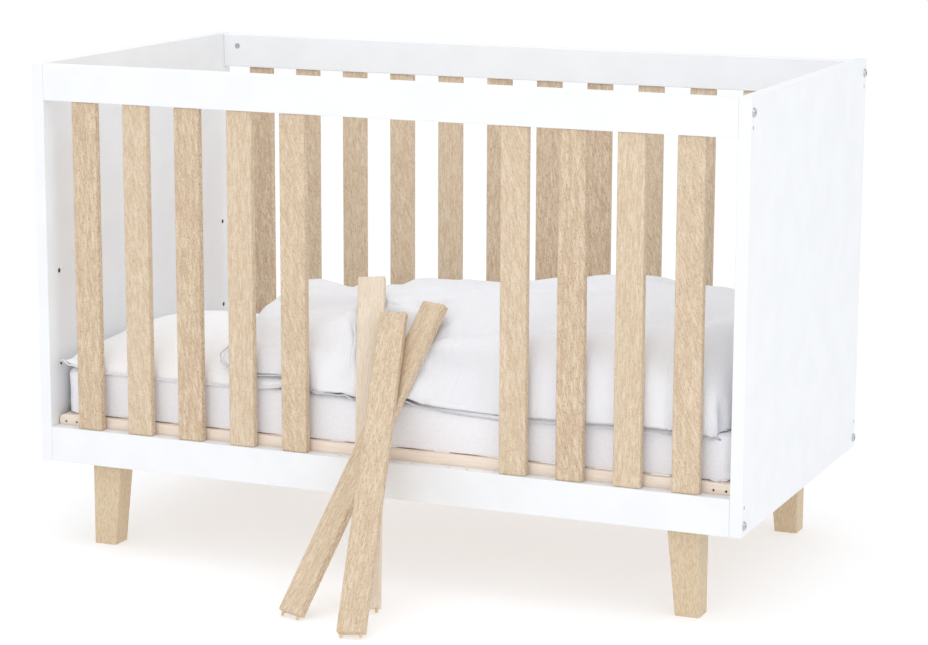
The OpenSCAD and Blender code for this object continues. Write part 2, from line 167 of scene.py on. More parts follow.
def rgba(colour, shade=1.0):
    """A colour, darkened by shade, with full alpha."""
    return (*(c * shade for c in colour), 1.0)


def blank(name):
    """A material with no nodes yet."""
    mat = bpy.data.materials.new(name)
    mat.use_nodes = True
    mat.node_tree.nodes.clear()
    return mat


def grain(mat, place, size, detail=1.0, distortion=0.0):
    """A soft random pattern whose cells measure size, in mm along X, Y and Z."""
    cells = add(mat, "Mapping", {"Vector": place, "Scale": tuple(1 / (s * MM) for s in size)})
    return add(mat, "TexNoise", {"Vector": cells, "Detail": detail, "Distortion": distortion})


def stain(mat, under, over, pattern, low, high, strength=1.0):
    """The colour under, covered by the colour over as the pattern goes from low to high."""
    cover = add(
        mat, "MapRange", {0: pattern, 1: low, 2: high, 3: 0.0, 4: strength}, interpolation_type="SMOOTHSTEP"
    )
    return add(mat, "Mix", {0: cover, 6: under, 7: over}, out=2, data_type="RGBA")


def surface(mat, colour, relief, depth, pattern, rough, **fixed):
    """Ends a material with its shader: colour, relief of a depth in mm, and roughness, which goes between two
    values with a pattern. fixed gives the shader's other inputs, with _ for spaces."""
    sockets = {name.replace("_", " "): value for name, value in fixed.items()}
    sockets["Base Color"] = colour
    sockets["Roughness"] = add(mat, "MapRange", {0: pattern, 1: 0.3, 2: 0.7, 3: rough[0], 4: rough[1]})
    sockets["Normal"] = add(mat, "Bump", {"Height": relief, "Distance": depth * MM})
    add(mat, "OutputMaterial", {"Surface": add(mat, "BsdfPrincipled", sockets)})
    return mat


def lacquer(finishes):
    """White satin lacquer, sprayed on fibreboard: even colour, soft gloss and a faint orange peel."""
    mat = blank("white_lacquer")
    place = add(mat, "TexCoord", out="Object")
    clouds = grain(mat, place, (400, 400, 400), 2.0)
    peel = grain(mat, place, (2.5, 2.5, 2.5))
    colour = stain(mat, rgba(finishes.lacquer, 0.975), rgba(finishes.lacquer), clouds, 0.35, 0.65)
    return surface(mat, colour, peel, 0.03, peel, (0.38, 0.46), IOR=1.5)


def oak_decor(name, finishes, slant, tone, turn=None, centre=(0, 0, 0)):
    """Printed oak decor foil, pressed on board with a sawn surface: short dark strokes of pores along the
    slat, at a slant of some degrees, long soft figures, and pale lines across it where the saw marked the
    wood. tone goes from -1, bleached, through 0, pale, to 1, dark."""
    mat = blank(name)
    place = add(mat, "TexCoord", out="Object")
    if turn is not None:
        along = {"Vector": place, "Location": tuple(centre), "Rotation": tuple(turn)}
        place = add(mat, "Mapping", along, vector_type="TEXTURE")
    aslant = add(mat, "Mapping", {"Vector": place, "Rotation": (0, math.radians(slant), 0)})
    strokes = grain(mat, aslant, (9, 24, 110))
    pores = grain(mat, aslant, (4.6, 14, 32))
    fine = grain(mat, place, (3.4, 10, 130))
    figure = grain(mat, place, (38, 60, 300))
    arcs = add(mat, "Math", {0: figure, 1: 9.0}, operation="MULTIPLY")
    arcs = add(mat, "Math", {0: arcs, 1: 1.0}, operation="PINGPONG")
    # lines of the saw, 3.8 mm apart, in patches a few centimetres tall
    patches = grain(mat, place, (30, 30, 90))
    uneven = {"Distortion": 1.0, "Detail": 1.0, "Detail Scale": 0.3}
    lines = {"Vector": place, "Scale": WAVE / (3.8 * MM), **uneven}
    saw = add(mat, "TexWave", lines, out=1, bands_direction="Z")
    bleach, depth = max(0.0, -tone), max(0.0, tone)
    light = Vector(finishes.slat_light).lerp(finishes.slat_saw, bleach)
    dark = Vector(finishes.slat_dark).lerp(light, bleach * 0.6)
    pore = Vector(finishes.slat_pore).lerp(light, bleach * 0.7)
    base = stain(mat, rgba(light), rgba(dark), figure, 0.25, 0.75, 0.12 + 0.45 * depth)
    base = stain(mat, base, rgba(dark), arcs, 0.50, 1.0, 0.30)
    base = stain(mat, base, rgba(dark), fine, 0.42, 0.70, 0.30)
    base = stain(mat, base, rgba(dark), strokes, 0.44, 0.60, 0.34 + 0.28 * depth)
    colour = stain(mat, base, rgba(pore), pores, 0.55, 0.66, 0.42 + 0.36 * depth)
    marked = stain(mat, base, rgba(finishes.slat_saw), saw, 0.50, 0.95, 0.5)
    sawn = add(mat, "MapRange", {0: patches, 1: 0.56, 2: 0.64, 3: 0.0, 4: 0.75})
    colour = add(mat, "Mix", {0: sawn, 6: colour, 7: marked}, out=2, data_type="RGBA")
    relief = add(mat, "Math", {0: strokes, 1: pores}, operation="ADD")
    return surface(mat, colour, relief, -0.12, pores, (0.5, 0.66), IOR=1.48)


def solid_oak(finishes):
    """Solid oak, sanded and matt oiled: growth rings as long arcs, open pores as short dark strokes."""
    mat = blank("solid_oak")
    place = add(mat, "TexCoord", out="Object")
    figure = grain(mat, place, (34, 34, 210))
    rings = add(mat, "Math", {0: figure, 1: 13.0}, operation="MULTIPLY")
    rings = add(mat, "Math", {0: rings, 1: 1.0}, operation="PINGPONG")
    fibres = grain(mat, place, (3.6, 3.6, 60), 2.0)
    pores = grain(mat, place, (3.0, 3.0, 22))
    light, dark = rgba(finishes.leg_light), rgba(finishes.leg_dark)
    colour = stain(mat, light, dark, rings, 0.35, 1.0, 0.42)
    colour = stain(mat, colour, dark, fibres, 0.42, 0.66, 0.40)
    colour = stain(mat, colour, dark, pores, 0.58, 0.70, 0.50)
    return surface(mat, colour, pores, -0.08, fibres, (0.44, 0.58), IOR=1.48)


def planed_wood(name, light, dark, along, rough=0.55):
    """Planed softwood or beech: fine straight grain along one axis, with a slow change of tone."""
    mat = blank(name)
    place = add(mat, "TexCoord", out="Object")
    fine, slow = [3.0] * 3, [25.0] * 3
    fine[along], slow[along] = 90.0, 240.0
    fibres = grain(mat, place, fine, 2.0)
    colour = stain(mat, rgba(light), rgba(dark), grain(mat, place, slow), 0.3, 0.7, 0.5)
    colour = stain(mat, colour, rgba(dark), fibres, 0.4, 0.7, 0.6)
    return surface(mat, colour, fibres, 0.05, fibres, (rough - 0.05, rough + 0.07), IOR=1.48)


def plated(name, colour, rough):
    """Steel, bright zinc plated or blackened: a metal with the soft, slightly uneven gloss of its bath."""
    mat = blank(name)
    place = add(mat, "TexCoord", out="Object")
    spots = grain(mat, place, (1.5, 1.5, 1.5), 2.0)
    tint = stain(mat, rgba(colour, 0.8), rgba(colour), spots, 0.3, 0.7)
    return surface(mat, tint, spots, 0.02, spots, (rough - 0.06, rough + 0.08), Metallic=1.0)


def nylon(finishes):
    """Injection moulded nylon: a fine spark-eroded texture and a waxy half gloss."""
    mat = blank("nylon")
    place = add(mat, "TexCoord", out="Object")
    grit = grain(mat, place, (0.8, 0.8, 0.8))
    colour = stain(mat, rgba(finishes.nylon, 0.93), rgba(finishes.nylon), grit, 0.3, 0.7)
    waxy = {"Subsurface_Weight": 0.1, "Subsurface_Scale": 2 * MM}
    return surface(mat, colour, grit, 0.04, grit, (0.42, 0.5), IOR=1.53, **waxy)


def cotton(name, colour, thread, crease, depth):
    """Woven cotton: matt, with a soft sheen at grazing angles, threads both ways and creases from washing.
    thread and crease are sizes in mm. The real threads are 0.3 mm and drawn larger, so that they show."""
    mat = blank(name)
    flat = add(mat, "UVMap", uv_map="cloth")
    warp, weft = (
        add(mat, "TexWave", {"Vector": flat, "Scale": WAVE / (thread * MM)}, out=1, bands_direction=way)
        for way in ("X", "Y")
    )
    weave = add(mat, "Math", {0: warp, 1: weft}, operation="MULTIPLY")
    creases = grain(mat, flat, (crease, crease * 1.7, crease), 3.0, 1.5)
    slubs = grain(mat, flat, (thread * 2, 30, 30), 2.0)
    tint = stain(mat, rgba(colour), rgba(colour, 0.95), slubs, 0.4, 0.7, 0.5)
    height = add(mat, "Math", {0: weave, 1: 0.06, 2: creases}, operation="MULTIPLY_ADD")
    soft = {"Sheen_Weight": 0.25, "Sheen_Roughness": 0.5}
    return surface(mat, tint, height, depth, creases, (0.86, 0.94), IOR=1.45, **soft)


def jersey(name, colour):
    """Knitted cotton jersey, stretched: fine upright ribs of stitches, drawn at 2.4 mm so that they show."""
    mat = blank(name)
    flat = add(mat, "UVMap", uv_map="cloth")
    knit = {"Vector": flat, "Scale": WAVE / (2.4 * MM), "Distortion": 0.6, "Detail": 1.0}
    ribs = add(mat, "TexWave", knit, out=1, bands_direction="X")
    pull = grain(mat, flat, (26, 34, 26), 2.0)
    tint = stain(mat, rgba(colour), rgba(colour, 0.95), pull, 0.35, 0.65, 0.6)
    height = add(mat, "Math", {0: ribs, 1: 0.05, 2: pull}, operation="MULTIPLY_ADD")
    soft = {"Sheen_Weight": 0.3, "Sheen_Roughness": 0.45}
    return surface(mat, tint, height, 0.6, pull, (0.84, 0.92), IOR=1.45, **soft)


def floor_paint(colour, glow):
    """Pale studio floor: smooth matt paint with very slight unevenness, lit a little from within so that the
    shadows on it stay pale."""
    mat = blank("floor_paint")
    place = add(mat, "TexCoord", out="Object")
    clouds = grain(mat, place, (900, 900, 900))
    tint = stain(mat, rgba(colour, 0.985), rgba(colour), clouds, 0.3, 0.7)
    light = {"Emission_Color": (1.0, 1.0, 1.0, 1.0), "Emission_Strength": glow}
    return surface(mat, tint, clouds, 0.01, clouds, (0.82, 0.9), **light)


def finish(names, mat):
    """Gives a material to CAD nodes or pieces, in place of what they had."""
    for name in names:
        data = bpy.data.objects[name].data
        data.materials.clear()
        data.materials.append(mat)


# ---- cloth and padding ----


def closed_grid(name, across, along, step):
    """Two sheets of cloth of the given size, one over the other and sewn together round their rim. The UV
    map "cloth" holds the cloth's own flat measures in metres, and the face layer "side" is 1 on the upper
    sheet."""
    columns, rows = round(across / step), round(along / step)
    bm = bmesh.new()
    uv = bm.loops.layers.uv.new("cloth")
    side = bm.faces.layers.int.new("side")
    bmesh.ops.create_grid(bm, x_segments=columns, y_segments=rows, size=0.5)
    bmesh.ops.scale(bm, vec=(across, along, 1), verts=bm.verts)
    upper = bm.faces[:]
    lower = [g for g in bmesh.ops.duplicate(bm, geom=upper)["geom"] if isinstance(g, bmesh.types.BMFace)]
    bmesh.ops.reverse_faces(bm, faces=lower)
    for face in upper:
        face[side] = 1
    for face in bm.faces:
        for loop in face.loops:
            loop[uv].uv = loop.vert.co.xy
    # a list, because a set's order changes from run to run, and the cloth's shape with it
    rim = [v for v in bm.verts if v.is_boundary]
    bmesh.ops.remove_doubles(bm, verts=rim, dist=step * 0.1)
    data = bpy.data.meshes.new(name)
    bm.to_mesh(data)
    bm.free()
    return new_piece(name, data)


def new_piece(name, data):
    """An object at the origin, smooth shaded."""
    data.name = name
    made = bpy.data.objects.new(name, data)
    bpy.context.scene.collection.objects.link(made)
    data.shade_smooth()
    return made


def coordinates(obj):
    """The points of an object's mesh with its modifiers applied."""
    evaluated = obj.evaluated_get(bpy.context.evaluated_depsgraph_get())
    data = evaluated.to_mesh()
    points = [v.co.copy() for v in data.vertices]
    evaluated.to_mesh_clear()
    return points


def stand_in(name, nodes):
    """One mesh of the given CAD nodes, for cloth to lie against. It is removed after use."""
    bm = bmesh.new()
    for node in nodes:
        bm.from_mesh(frame["nodes"][node].data)
    bmesh.ops.remove_doubles(bm, verts=bm.verts, dist=0.01 * MM)
    data = bpy.data.meshes.new(name)
    bm.to_mesh(data)
    bm.free()
    return new_piece(name, data)


def settle(obj, against, pressure, slack, frames, cap, weight):
    """Fills a closed cloth and lets it settle against other objects, then keeps the shape it has.
    slack is the share of spare cloth, which falls into creases. No point moves further than cap.
    weight is the share of gravity that acts."""
    scene = bpy.context.scene
    before = [v.co.copy() for v in obj.data.vertices]
    for other in against:
        other.modifiers.new("Collision", "COLLISION")
        other.collision.thickness_outer = 1.5 * MM
        other.collision.cloth_friction = 20
    cloth = obj.modifiers.new("Cloth", "CLOTH")
    rules = cloth.settings
    rules.quality = 7
    rules.mass = 0.15
    rules.air_damping = 4
    rules.tension_stiffness = 12
    rules.compression_stiffness = 12
    rules.shear_stiffness = 4
    rules.bending_stiffness = 0.35
    rules.use_pressure = True
    rules.uniform_pressure_force = pressure
    rules.shrink_min = -slack
    rules.effector_weights.gravity = weight
    cloth.collision_settings.distance_min = 2 * MM
    cloth.collision_settings.collision_quality = 3
    cloth.point_cache.frame_end = frames
    for number in range(1, frames + 1):
        scene.frame_set(number)
    after = coordinates(obj)
    obj.modifiers.remove(cloth)
    for vert, start, end in zip(obj.data.vertices, before, after):
        move = end - start
        vert.co = start + move * min(1.0, cap / max(move.length, 1e-9))
    for other in against:
        other.modifiers.remove(other.modifiers["Collision"])
    scene.frame_set(1)


def smooth_step(value, low, high):
    """Goes softly from 0 to 1 as the value goes from low to high."""
    t = min(1.0, max(0.0, (value - low) / (high - low)))
    return t * t * (3 - 2 * t)


def between(points, x):
    """Height at x on a smooth line through (x, height) points."""
    if x <= points[0][0]:
        return points[0][1]
    for (x0, h0), (x1, h1) in zip(points, points[1:]):
        if x <= x1:
            return h0 + (h1 - h0) * smooth_step(x, x0, x1)
    return points[-1][1]


def round_off(part):
    """Height along a quarter circle, from 0 at its foot to 1 at its top and beyond it."""
    return (1 - (1 - min(1.0, part)) ** 2) ** 0.5


def piping(obj, radius, body, slot, mat):
    """A thin corded seam round the rim of a two-sheet piece."""
    bm = bmesh.new()
    bm.from_mesh(obj.data)
    side = bm.faces.layers.int["side"]
    rim = [e for e in bm.edges if len({f[side] for f in e.link_faces}) == 2]
    start = rim[0].verts[0]
    loop, edge, vert = [start.co.copy()], rim[0], rim[0].other_vert(start)
    seam = set(rim)
    while vert is not start:
        loop.append(vert.co.copy())
        edge = next(e for e in vert.link_edges if e in seam and e is not edge)
        vert = edge.other_vert(vert)
    bm.free()
    curve = bpy.data.curves.new(obj.name + "_seam", "CURVE")
    curve.dimensions = "3D"
    curve.bevel_depth = radius
    curve.bevel_resolution = 2
    spline = curve.splines.new("POLY")
    spline.points.add(len(loop) - 1)
    spline.use_cyclic_u = True
    for point, place in zip(spline.points, loop):
        point.co = (*place, 1)
    holder = bpy.data.objects.new("seam_curve", curve)
    bpy.context.scene.collection.objects.link(holder)
    data = bpy.data.meshes.new_from_object(holder.evaluated_get(bpy.context.evaluated_depsgraph_get()))
    bpy.data.objects.remove(holder)
    made = new_piece(obj.name + "_seam", data)
    data.uv_layers[0].name = "cloth"
    data.materials.append(mat)
    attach(made, body)


def flat_places(obj):
    """Where each point of a cloth lies when the cloth is flat."""
    flat = {}
    for loop, uv in zip(obj.data.loops, obj.data.uv_layers["cloth"].data):
        flat[loop.vertex_index] = uv.uv.copy()
    return flat


def pucker(obj, size, pitch=17 * MM, reach=34 * MM, depth=2.2 * MM):
    """Small gathers in the cloth beside the seam: a pitch apart, square to it and fading over their reach."""
    flat = flat_places(obj)
    for vert in obj.data.vertices:
        x, y = flat[vert.index]
        from_side, from_end = size.y / 2 - abs(y), size.x / 2 - abs(x)
        from_rim = min(from_side, from_end)
        along = x if from_side < from_end else y
        near = 1 - smooth_step(from_rim, 0.0, reach)
        gather = noise.noise(Vector((along / pitch, from_rim / 0.2, vert.normal.z)))
        vert.co += vert.normal * depth * near * gather


def wrinkle(obj, depth, long, short, turn):
    """Soft creases left by folding and use: ridges of a length and width, turned some degrees on the cloth,
    which come and go in patches 160 mm long and 120 mm wide."""
    flat = flat_places(obj)
    spin = Matrix.Rotation(math.radians(turn), 2)
    for vert in obj.data.vertices:
        x, y = spin @ flat[vert.index]
        valley = abs(noise.noise(Vector((x / long, y / short, vert.normal.z * 0.4))))
        ridge = max(0.0, 1 - valley * 2.2) ** 3
        patch = noise.noise(Vector((x / 0.16, y / 0.12, 7.0)))
        vert.co += vert.normal * depth * ridge * smooth_step(patch, -0.15, 0.25)


def subdivide(obj):
    """Rounds the cells of a cloth once."""
    made = obj.modifiers.new("Subdivision", "SUBSURF")
    made.levels = 1
    made.render_levels = 1


# ---- operators ----


def props():
    """The finishes, the bedding's sizes and the stage's sizes."""
    scene = bpy.context.scene
    return scene.crib_finishes, scene.crib_bedding, scene.crib_stage


class CRIB_OT_stage(bpy.types.Operator):
    """Make the floor, the lights and the camera"""

    bl_idname = "crib.stage"
    bl_label = "Stage"

    # place, what it points at and side of each soft light, in metres
    LIGHTS = {
        "front_light": ((0.5, -4.6, 2.2), (0, 0, 0.5), 3.0),
        "side_light": ((3.0, -1.5, 2.6), (-0.7, 0, 0.6), 2.0),
        "top_light": ((-0.35, -0.3, 2.6), (-0.5, 0, 0.4), 1.4),
    }
    # colour of the even light all round, slightly cool
    SKY = (0.965, 0.984, 1.0, 1.0)
    # where the camera stands in metres, how it is turned in degrees, and its lens in mm
    EYE = (2.101, -4.898, 1.481)
    YAW, PITCH, ROLL = 23.0, 11.06, 0.22
    LENS = 105.5

    def execute(self, context):
        finishes, _, stage = props()
        scene = context.scene
        bm = bmesh.new()
        bmesh.ops.create_grid(bm, x_segments=1, y_segments=1, size=stage.floor_side / 2)
        data = bpy.data.meshes.new("floor")
        bm.to_mesh(data)
        bm.free()
        floor = new_piece("floor", data)
        floor.data.materials.append(floor_paint(finishes.floor, stage.glow))
        powers = (stage.front_power, stage.side_power, stage.top_power)
        for (name, (place, target, side)), power in zip(self.LIGHTS.items(), powers):
            self.light(name, place, target, side, power)
        world = bpy.data.worlds.new("studio")
        world.use_nodes = True
        sky = world.node_tree.nodes["Background"]
        sky.inputs["Color"].default_value = self.SKY
        sky.inputs["Strength"].default_value = stage.sky
        scene.world = world
        scene.view_settings.view_transform = "Standard"
        self.camera(scene)
        return {"FINISHED"}

    def light(self, name, place, target, side, power):
        """A square soft light that points at a target."""
        data = bpy.data.lights.new(name, "AREA")
        data.energy = power
        data.size = side
        made = bpy.data.objects.new(name, data)
        made.location = place
        made.rotation_euler = (Vector(target) - Vector(place)).to_track_quat("-Z", "Y").to_euler()
        bpy.context.scene.collection.objects.link(made)

    def camera(self, scene):
        """From the right of the front and a little above, looking down at the crib."""
        data = bpy.data.cameras.new("camera")
        data.sensor_width = 36
        data.lens = self.LENS
        yaw, pitch, roll = (math.radians(angle) for angle in (self.YAW, self.PITCH, self.ROLL))
        made = bpy.data.objects.new("camera", data)
        level = Matrix.Rotation(yaw, 4, "Z") @ Matrix.Rotation(math.pi / 2 - pitch, 4, "X")
        made.matrix_world = Matrix.Translation(self.EYE) @ level @ Matrix.Rotation(roll, 4, "Z")
        scene.collection.objects.link(made)
        scene.camera = made


class CRIB_OT_boards(bpy.types.Operator):
    """Lacquer the end panels and the rails"""

    bl_idname = "crib.boards"
    bl_label = "Boards"

    def execute(self, context):
        names = [n for n in frame["nodes"] if n.endswith(("_end_panel", "_rail"))]
        finish(names, lacquer(props()[0]))
        return {"FINISHED"}


class CRIB_OT_slats(bpy.types.Operator):
    """Give the slats their oak decor, turned to lie along each slat that leans"""

    bl_idname = "crib.slats"
    bl_label = "Slats"

    # slant of the strokes in degrees and tone of the wood, for prints that follow each other along a side
    PRINTS = ((10, 0.8), (20, 0.2), (15, 0.9), (-2, 0.1), (24, 0.45), (-9, 0.6), (5, 0.3))
    LOOSE_PRINTS = {6: (12, 0.3), 7: (0, -0.8), 8: (6, 0.4)}

    def execute(self, context):
        finishes = props()[0]
        prints = [oak_decor(f"oak_decor_{i}", finishes, *kind) for i, kind in enumerate(self.PRINTS, 1)]
        for name in sorted_nodes("front_slat_") + sorted_nodes("back_slat_"):
            side, number = name.split("_slat_")
            shift = int(number) - 1 if side == "front" else int(number) * 2
            finish([name], prints[shift % len(prints)])
        axes = {joint["child"]: joint["axis"] for joint in frame["joints"]}
        for number, kind in self.LOOSE_PRINTS.items():
            name = f"takeout_slat_{number}"
            low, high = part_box(name)
            turn = Vector(axes[name]).to_track_quat("Z", "Y").to_euler()
            finish([name], oak_decor(f"oak_decor_loose_{number}", finishes, *kind, turn, (low + high) / 2))
        return {"FINISHED"}


class CRIB_OT_legs(bpy.types.Operator):
    """Oil the legs"""

    bl_idname = "crib.legs"
    bl_label = "Legs"

    def execute(self, context):
        finish([n for n in frame["nodes"] if n.endswith("_leg")], solid_oak(props()[0]))
        return {"FINISHED"}


class CRIB_OT_base(bpy.types.Operator):
    """Finish the slatted base and the braces under the crib"""

    bl_idname = "crib.base"
    bl_label = "Slatted base"

    def execute(self, context):
        finishes = props()[0]
        light, dark = finishes.pine_light, finishes.pine_dark
        beams = [n for n in frame["nodes"] if n.endswith("_base_beam")]
        finish(beams, planed_wood("pine_along", light, dark, along=0))
        crossing = [n for n in frame["nodes"] if n.endswith(("_base_crossbar", "_leg_brace"))]
        finish(crossing + ["base_laths"], planed_wood("pine_across", light, dark, along=1))
        return {"FINISHED"}


class CRIB_OT_fittings(bpy.types.Operator):
    """Finish the bolts, brackets, pegs, screws, pins, dowels and latches"""

    bl_idname = "crib.fittings"
    bl_label = "Fittings"

    def execute(self, context):
        finishes = props()[0]
        bright = ["corner_bolts_and_nuts", "leg_bolts", "leg_brackets", "base_pegs_and_inserts"]
        finish(bright, plated("zinc_plated_steel", finishes.steel, rough=0.32))
        finish(sorted_nodes("latch_spring_"), plated("spring_steel", finishes.steel, rough=0.25))
        finish(["base_screws"], plated("black_steel", finishes.black_steel, rough=0.45))
        finish(sorted_nodes("latch_plunger_"), nylon(finishes))
        dark = tuple(c * 0.8 for c in finishes.dowel)
        pins = sorted_nodes("takeout_slat_pins_") + ["slat_and_rail_dowels"]
        finish(pins, planed_wood("beech_dowel", finishes.dowel, dark, along=2))
        return {"FINISHED"}


class CRIB_OT_mattress(bpy.types.Operator):
    """Make the mattress and its fitted sheet"""

    bl_idname = "crib.mattress"
    bl_label = "Mattress"

    # how far the core stays inside the mattress, and the size of the cells that it is cut into
    CORE_INSET = 7 * MM
    CORE_CELLS = (120 * MM, 120 * MM, 30 * MM)
    # thickness of the sheet, and its cells, which are small enough for creases
    SHEET = 0.8 * MM
    SHEET_CELLS = (12 * MM, 24 * MM, 9 * MM)

    def execute(self, context):
        finishes, bedding, _ = props()
        core = self.form("mattress_core", bedding, self.CORE_INSET, self.CORE_CELLS)
        self.flat_map(core)
        core.data.materials.append(cotton("ticking", finishes.ticking, thread=2.5, crease=40, depth=0.5))
        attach(core, BEDDING)
        sheet = self.form("fitted_sheet", bedding, self.SHEET, self.SHEET_CELLS)
        self.open_underside(sheet, bedding.sheet_hem)
        self.crease(sheet)
        self.flat_map(sheet)
        sheet.data.materials.append(jersey("fitted_sheet_jersey", finishes.sheet))
        shell = sheet.modifiers.new("Solidify", "SOLIDIFY")
        shell.thickness = self.SHEET
        shell.offset = 0
        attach(sheet, BEDDING)
        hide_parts("mattress")
        return {"FINISHED"}

    def form(self, name, bedding, inset, steps):
        """A block with rounded corners and edges, as large as the mattress less inset on every side, and
        cut into cells of about the given steps."""
        size = MATTRESS_HIGH - MATTRESS_LOW - Vector((2 * inset,) * 3)
        bm = bmesh.new()
        bmesh.ops.create_cube(bm, size=1)
        bmesh.ops.scale(bm, vec=size, verts=bm.verts)
        upright = [e for e in bm.edges if abs((e.verts[0].co - e.verts[1].co).z) > size.z / 2]
        bmesh.ops.bevel(
            bm, geom=upright, offset=bedding.corner, affect="EDGES", segments=8, profile=0.5, material=-1
        )
        for side, radius in ((1, bedding.edge), (-1, bedding.foot)):
            bm.normal_update()
            level = [e for e in bm.edges if abs(side * (e.verts[0].co.z + e.verts[1].co.z) - size.z) < MM]
            rim = [e for e in level if any(abs(f.normal.z) < 0.5 for f in e.link_faces)]
            bmesh.ops.bevel(bm, geom=rim, offset=radius, affect="EDGES", segments=5, profile=0.5, material=-1)
        self.grid_lines(bm, size, steps)
        bmesh.ops.translate(bm, vec=(MATTRESS_LOW + MATTRESS_HIGH) / 2, verts=bm.verts)
        data = bpy.data.meshes.new(name)
        bm.to_mesh(data)
        bm.free()
        return new_piece(name, data)

    def grid_lines(self, bm, size, steps):
        """Cuts the block along evenly spaced planes, so that it can bend."""
        for axis in range(3):
            count = round(size[axis] / steps[axis])
            normal = [0, 0, 0]
            normal[axis] = 1
            for i in range(1, count):
                place = Vector((0, 0, 0))
                place[axis] = -size[axis] / 2 + i * size[axis] / count
                geom = bm.verts[:] + bm.edges[:] + bm.faces[:]
                bmesh.ops.bisect_plane(bm, geom=geom, dist=0.01 * MM, plane_co=place, plane_no=normal)

    def open_underside(self, obj, hem):
        """Leaves only a hem of the given width under the mattress."""
        low, high = MATTRESS_LOW, MATTRESS_HIGH
        bm = bmesh.new()
        bm.from_mesh(obj.data)
        inner = []
        for face in bm.faces:
            place = face.calc_center_median()
            from_rim = min(place.x - low.x, high.x - place.x, place.y - low.y, high.y - place.y)
            if place.z < low.z + 2 * MM and from_rim > hem:
                inner.append(face)
        bmesh.ops.delete(bm, geom=inner, context="FACES")
        bm.to_mesh(obj.data)
        bm.free()

    def crease(self, obj):
        """Slight slanting creases down the sides, deepest by the corners, and a gathered hem underneath.
        They only go inwards, so the sheet stays in the mattress's space."""
        low, high = MATTRESS_LOW, MATTRESS_HIGH
        slope = 1.1
        for vert in obj.data.vertices:
            co = vert.co
            from_end = min(co.x - low.x, high.x - co.x)
            lean = co.x + (co.z - low.z) * (slope if co.x < 0 else -slope)
            narrow = noise.noise(Vector((lean / 0.034, co.y / 0.4, co.z / 0.2)))
            broad = noise.noise(Vector((lean / 0.11, co.y / 0.3, co.z / 0.15 + 5)))
            rise = (co.z - low.z) / (high.z - low.z)
            by_corner = 1 - smooth_step(from_end, 0.05, 0.4)
            depth = (0.8 + 2.4 * by_corner) * (1.15 - rise) * MM
            move = min(0.0, -0.4 * MM + depth * (0.7 * narrow + 0.6 * broad) - 0.5 * depth)
            vert.co = co + vert.normal * move

    def flat_map(self, obj):
        """Lays the cloth's own measures over the form: plan on the top, length and height on the sides."""
        uv = obj.data.uv_layers.new(name="cloth")
        for face in obj.data.polygons:
            n = face.normal
            for i in face.loop_indices:
                co = obj.data.vertices[obj.data.loops[i].vertex_index].co
                if abs(n.z) > 0.7:
                    uv.data[i].uv = co.xy
                elif abs(n.y) > abs(n.x):
                    uv.data[i].uv = (co.x, co.z)
                else:
                    uv.data[i].uv = (co.y, co.z)


class CRIB_OT_pillow(bpy.types.Operator):
    """Make the pillow"""

    bl_idname = "crib.pillow"
    bl_label = "Pillow"

    # how far the pillow reaches under the duvet, past the plain solid
    TUCK = 57 * MM
    # height of the seam above the mattress, along the sides and at the corners
    SEAM = (6 * MM, 27 * MM)
    # how far the sides are drawn in between the corners
    PULL = 8 * MM

    def execute(self, context):
        finishes, bedding, _ = props()
        low = Vector((PILLOW_LOW.x - 3 * MM, PILLOW_LOW.y - 10 * MM, 0))
        high = Vector((PILLOW_HIGH.x + self.TUCK, PILLOW_HIGH.y, 0))
        size = high - low
        pillow = closed_grid("pillow_soft", size.x, size.y, bedding.cloth_step)
        self.shape(pillow, size, (low + high) / 2, bedding.pillow_loft)
        rig = stand_in("pillow_walls", ["left_end_panel"])
        around = [rig, bpy.data.objects["mattress_core"]]
        settle(pillow, around, pressure=3.0, slack=0.05, frames=24, cap=22 * MM, weight=0.2)
        bpy.data.objects.remove(rig)
        wrinkle(pillow, depth=3 * MM, long=0.10, short=0.04, turn=-35)
        pucker(pillow, size)
        subdivide(pillow)
        # the brighter copy of the duvet's cotton, with painted light against the shade of the end panel and
        # the slats
        mat = cotton("pillow_cotton", finishes.pillowcase_painted_light, thread=1.8, crease=24, depth=0.9)
        pillow.data.materials.append(mat)
        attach(pillow, BEDDING)
        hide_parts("pillow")
        piping(pillow, bedding.piping, BEDDING, "pillow_cotton", mat)
        return {"FINISHED"}

    def shape(self, obj, size, centre, loft):
        """The pillow before it settles: flat below, crowned above, its sides drawn in between the corners."""
        low_seam, high_seam = self.SEAM
        bm = bmesh.new()
        bm.from_mesh(obj.data)
        side = bm.faces.layers.int["side"]
        for vert in bm.verts:
            u = 2 * vert.co.x / size.x
            v = 2 * vert.co.y / size.y
            bulge = max(0.0, (1 - u * u) * (1 - v * v)) ** 0.55
            seam = low_seam + (high_seam - low_seam) * min(abs(u), abs(v)) ** 3
            place = centre + Vector((vert.co.x, vert.co.y, MATTRESS_HIGH.z + seam))
            place.x -= math.copysign(self.PULL, u) * (1 - v * v) * u * u
            place.y -= math.copysign(self.PULL, v) * (1 - u * u) * v * v
            sides = {f[side] for f in vert.link_faces}
            if sides == {1}:
                place.z += (loft - seam) * bulge
            elif sides == {0}:
                place.z -= (seam - 3 * MM) * min(1.0, 2.5 * bulge)
            vert.co = place
        bm.to_mesh(obj.data)
        bm.free()


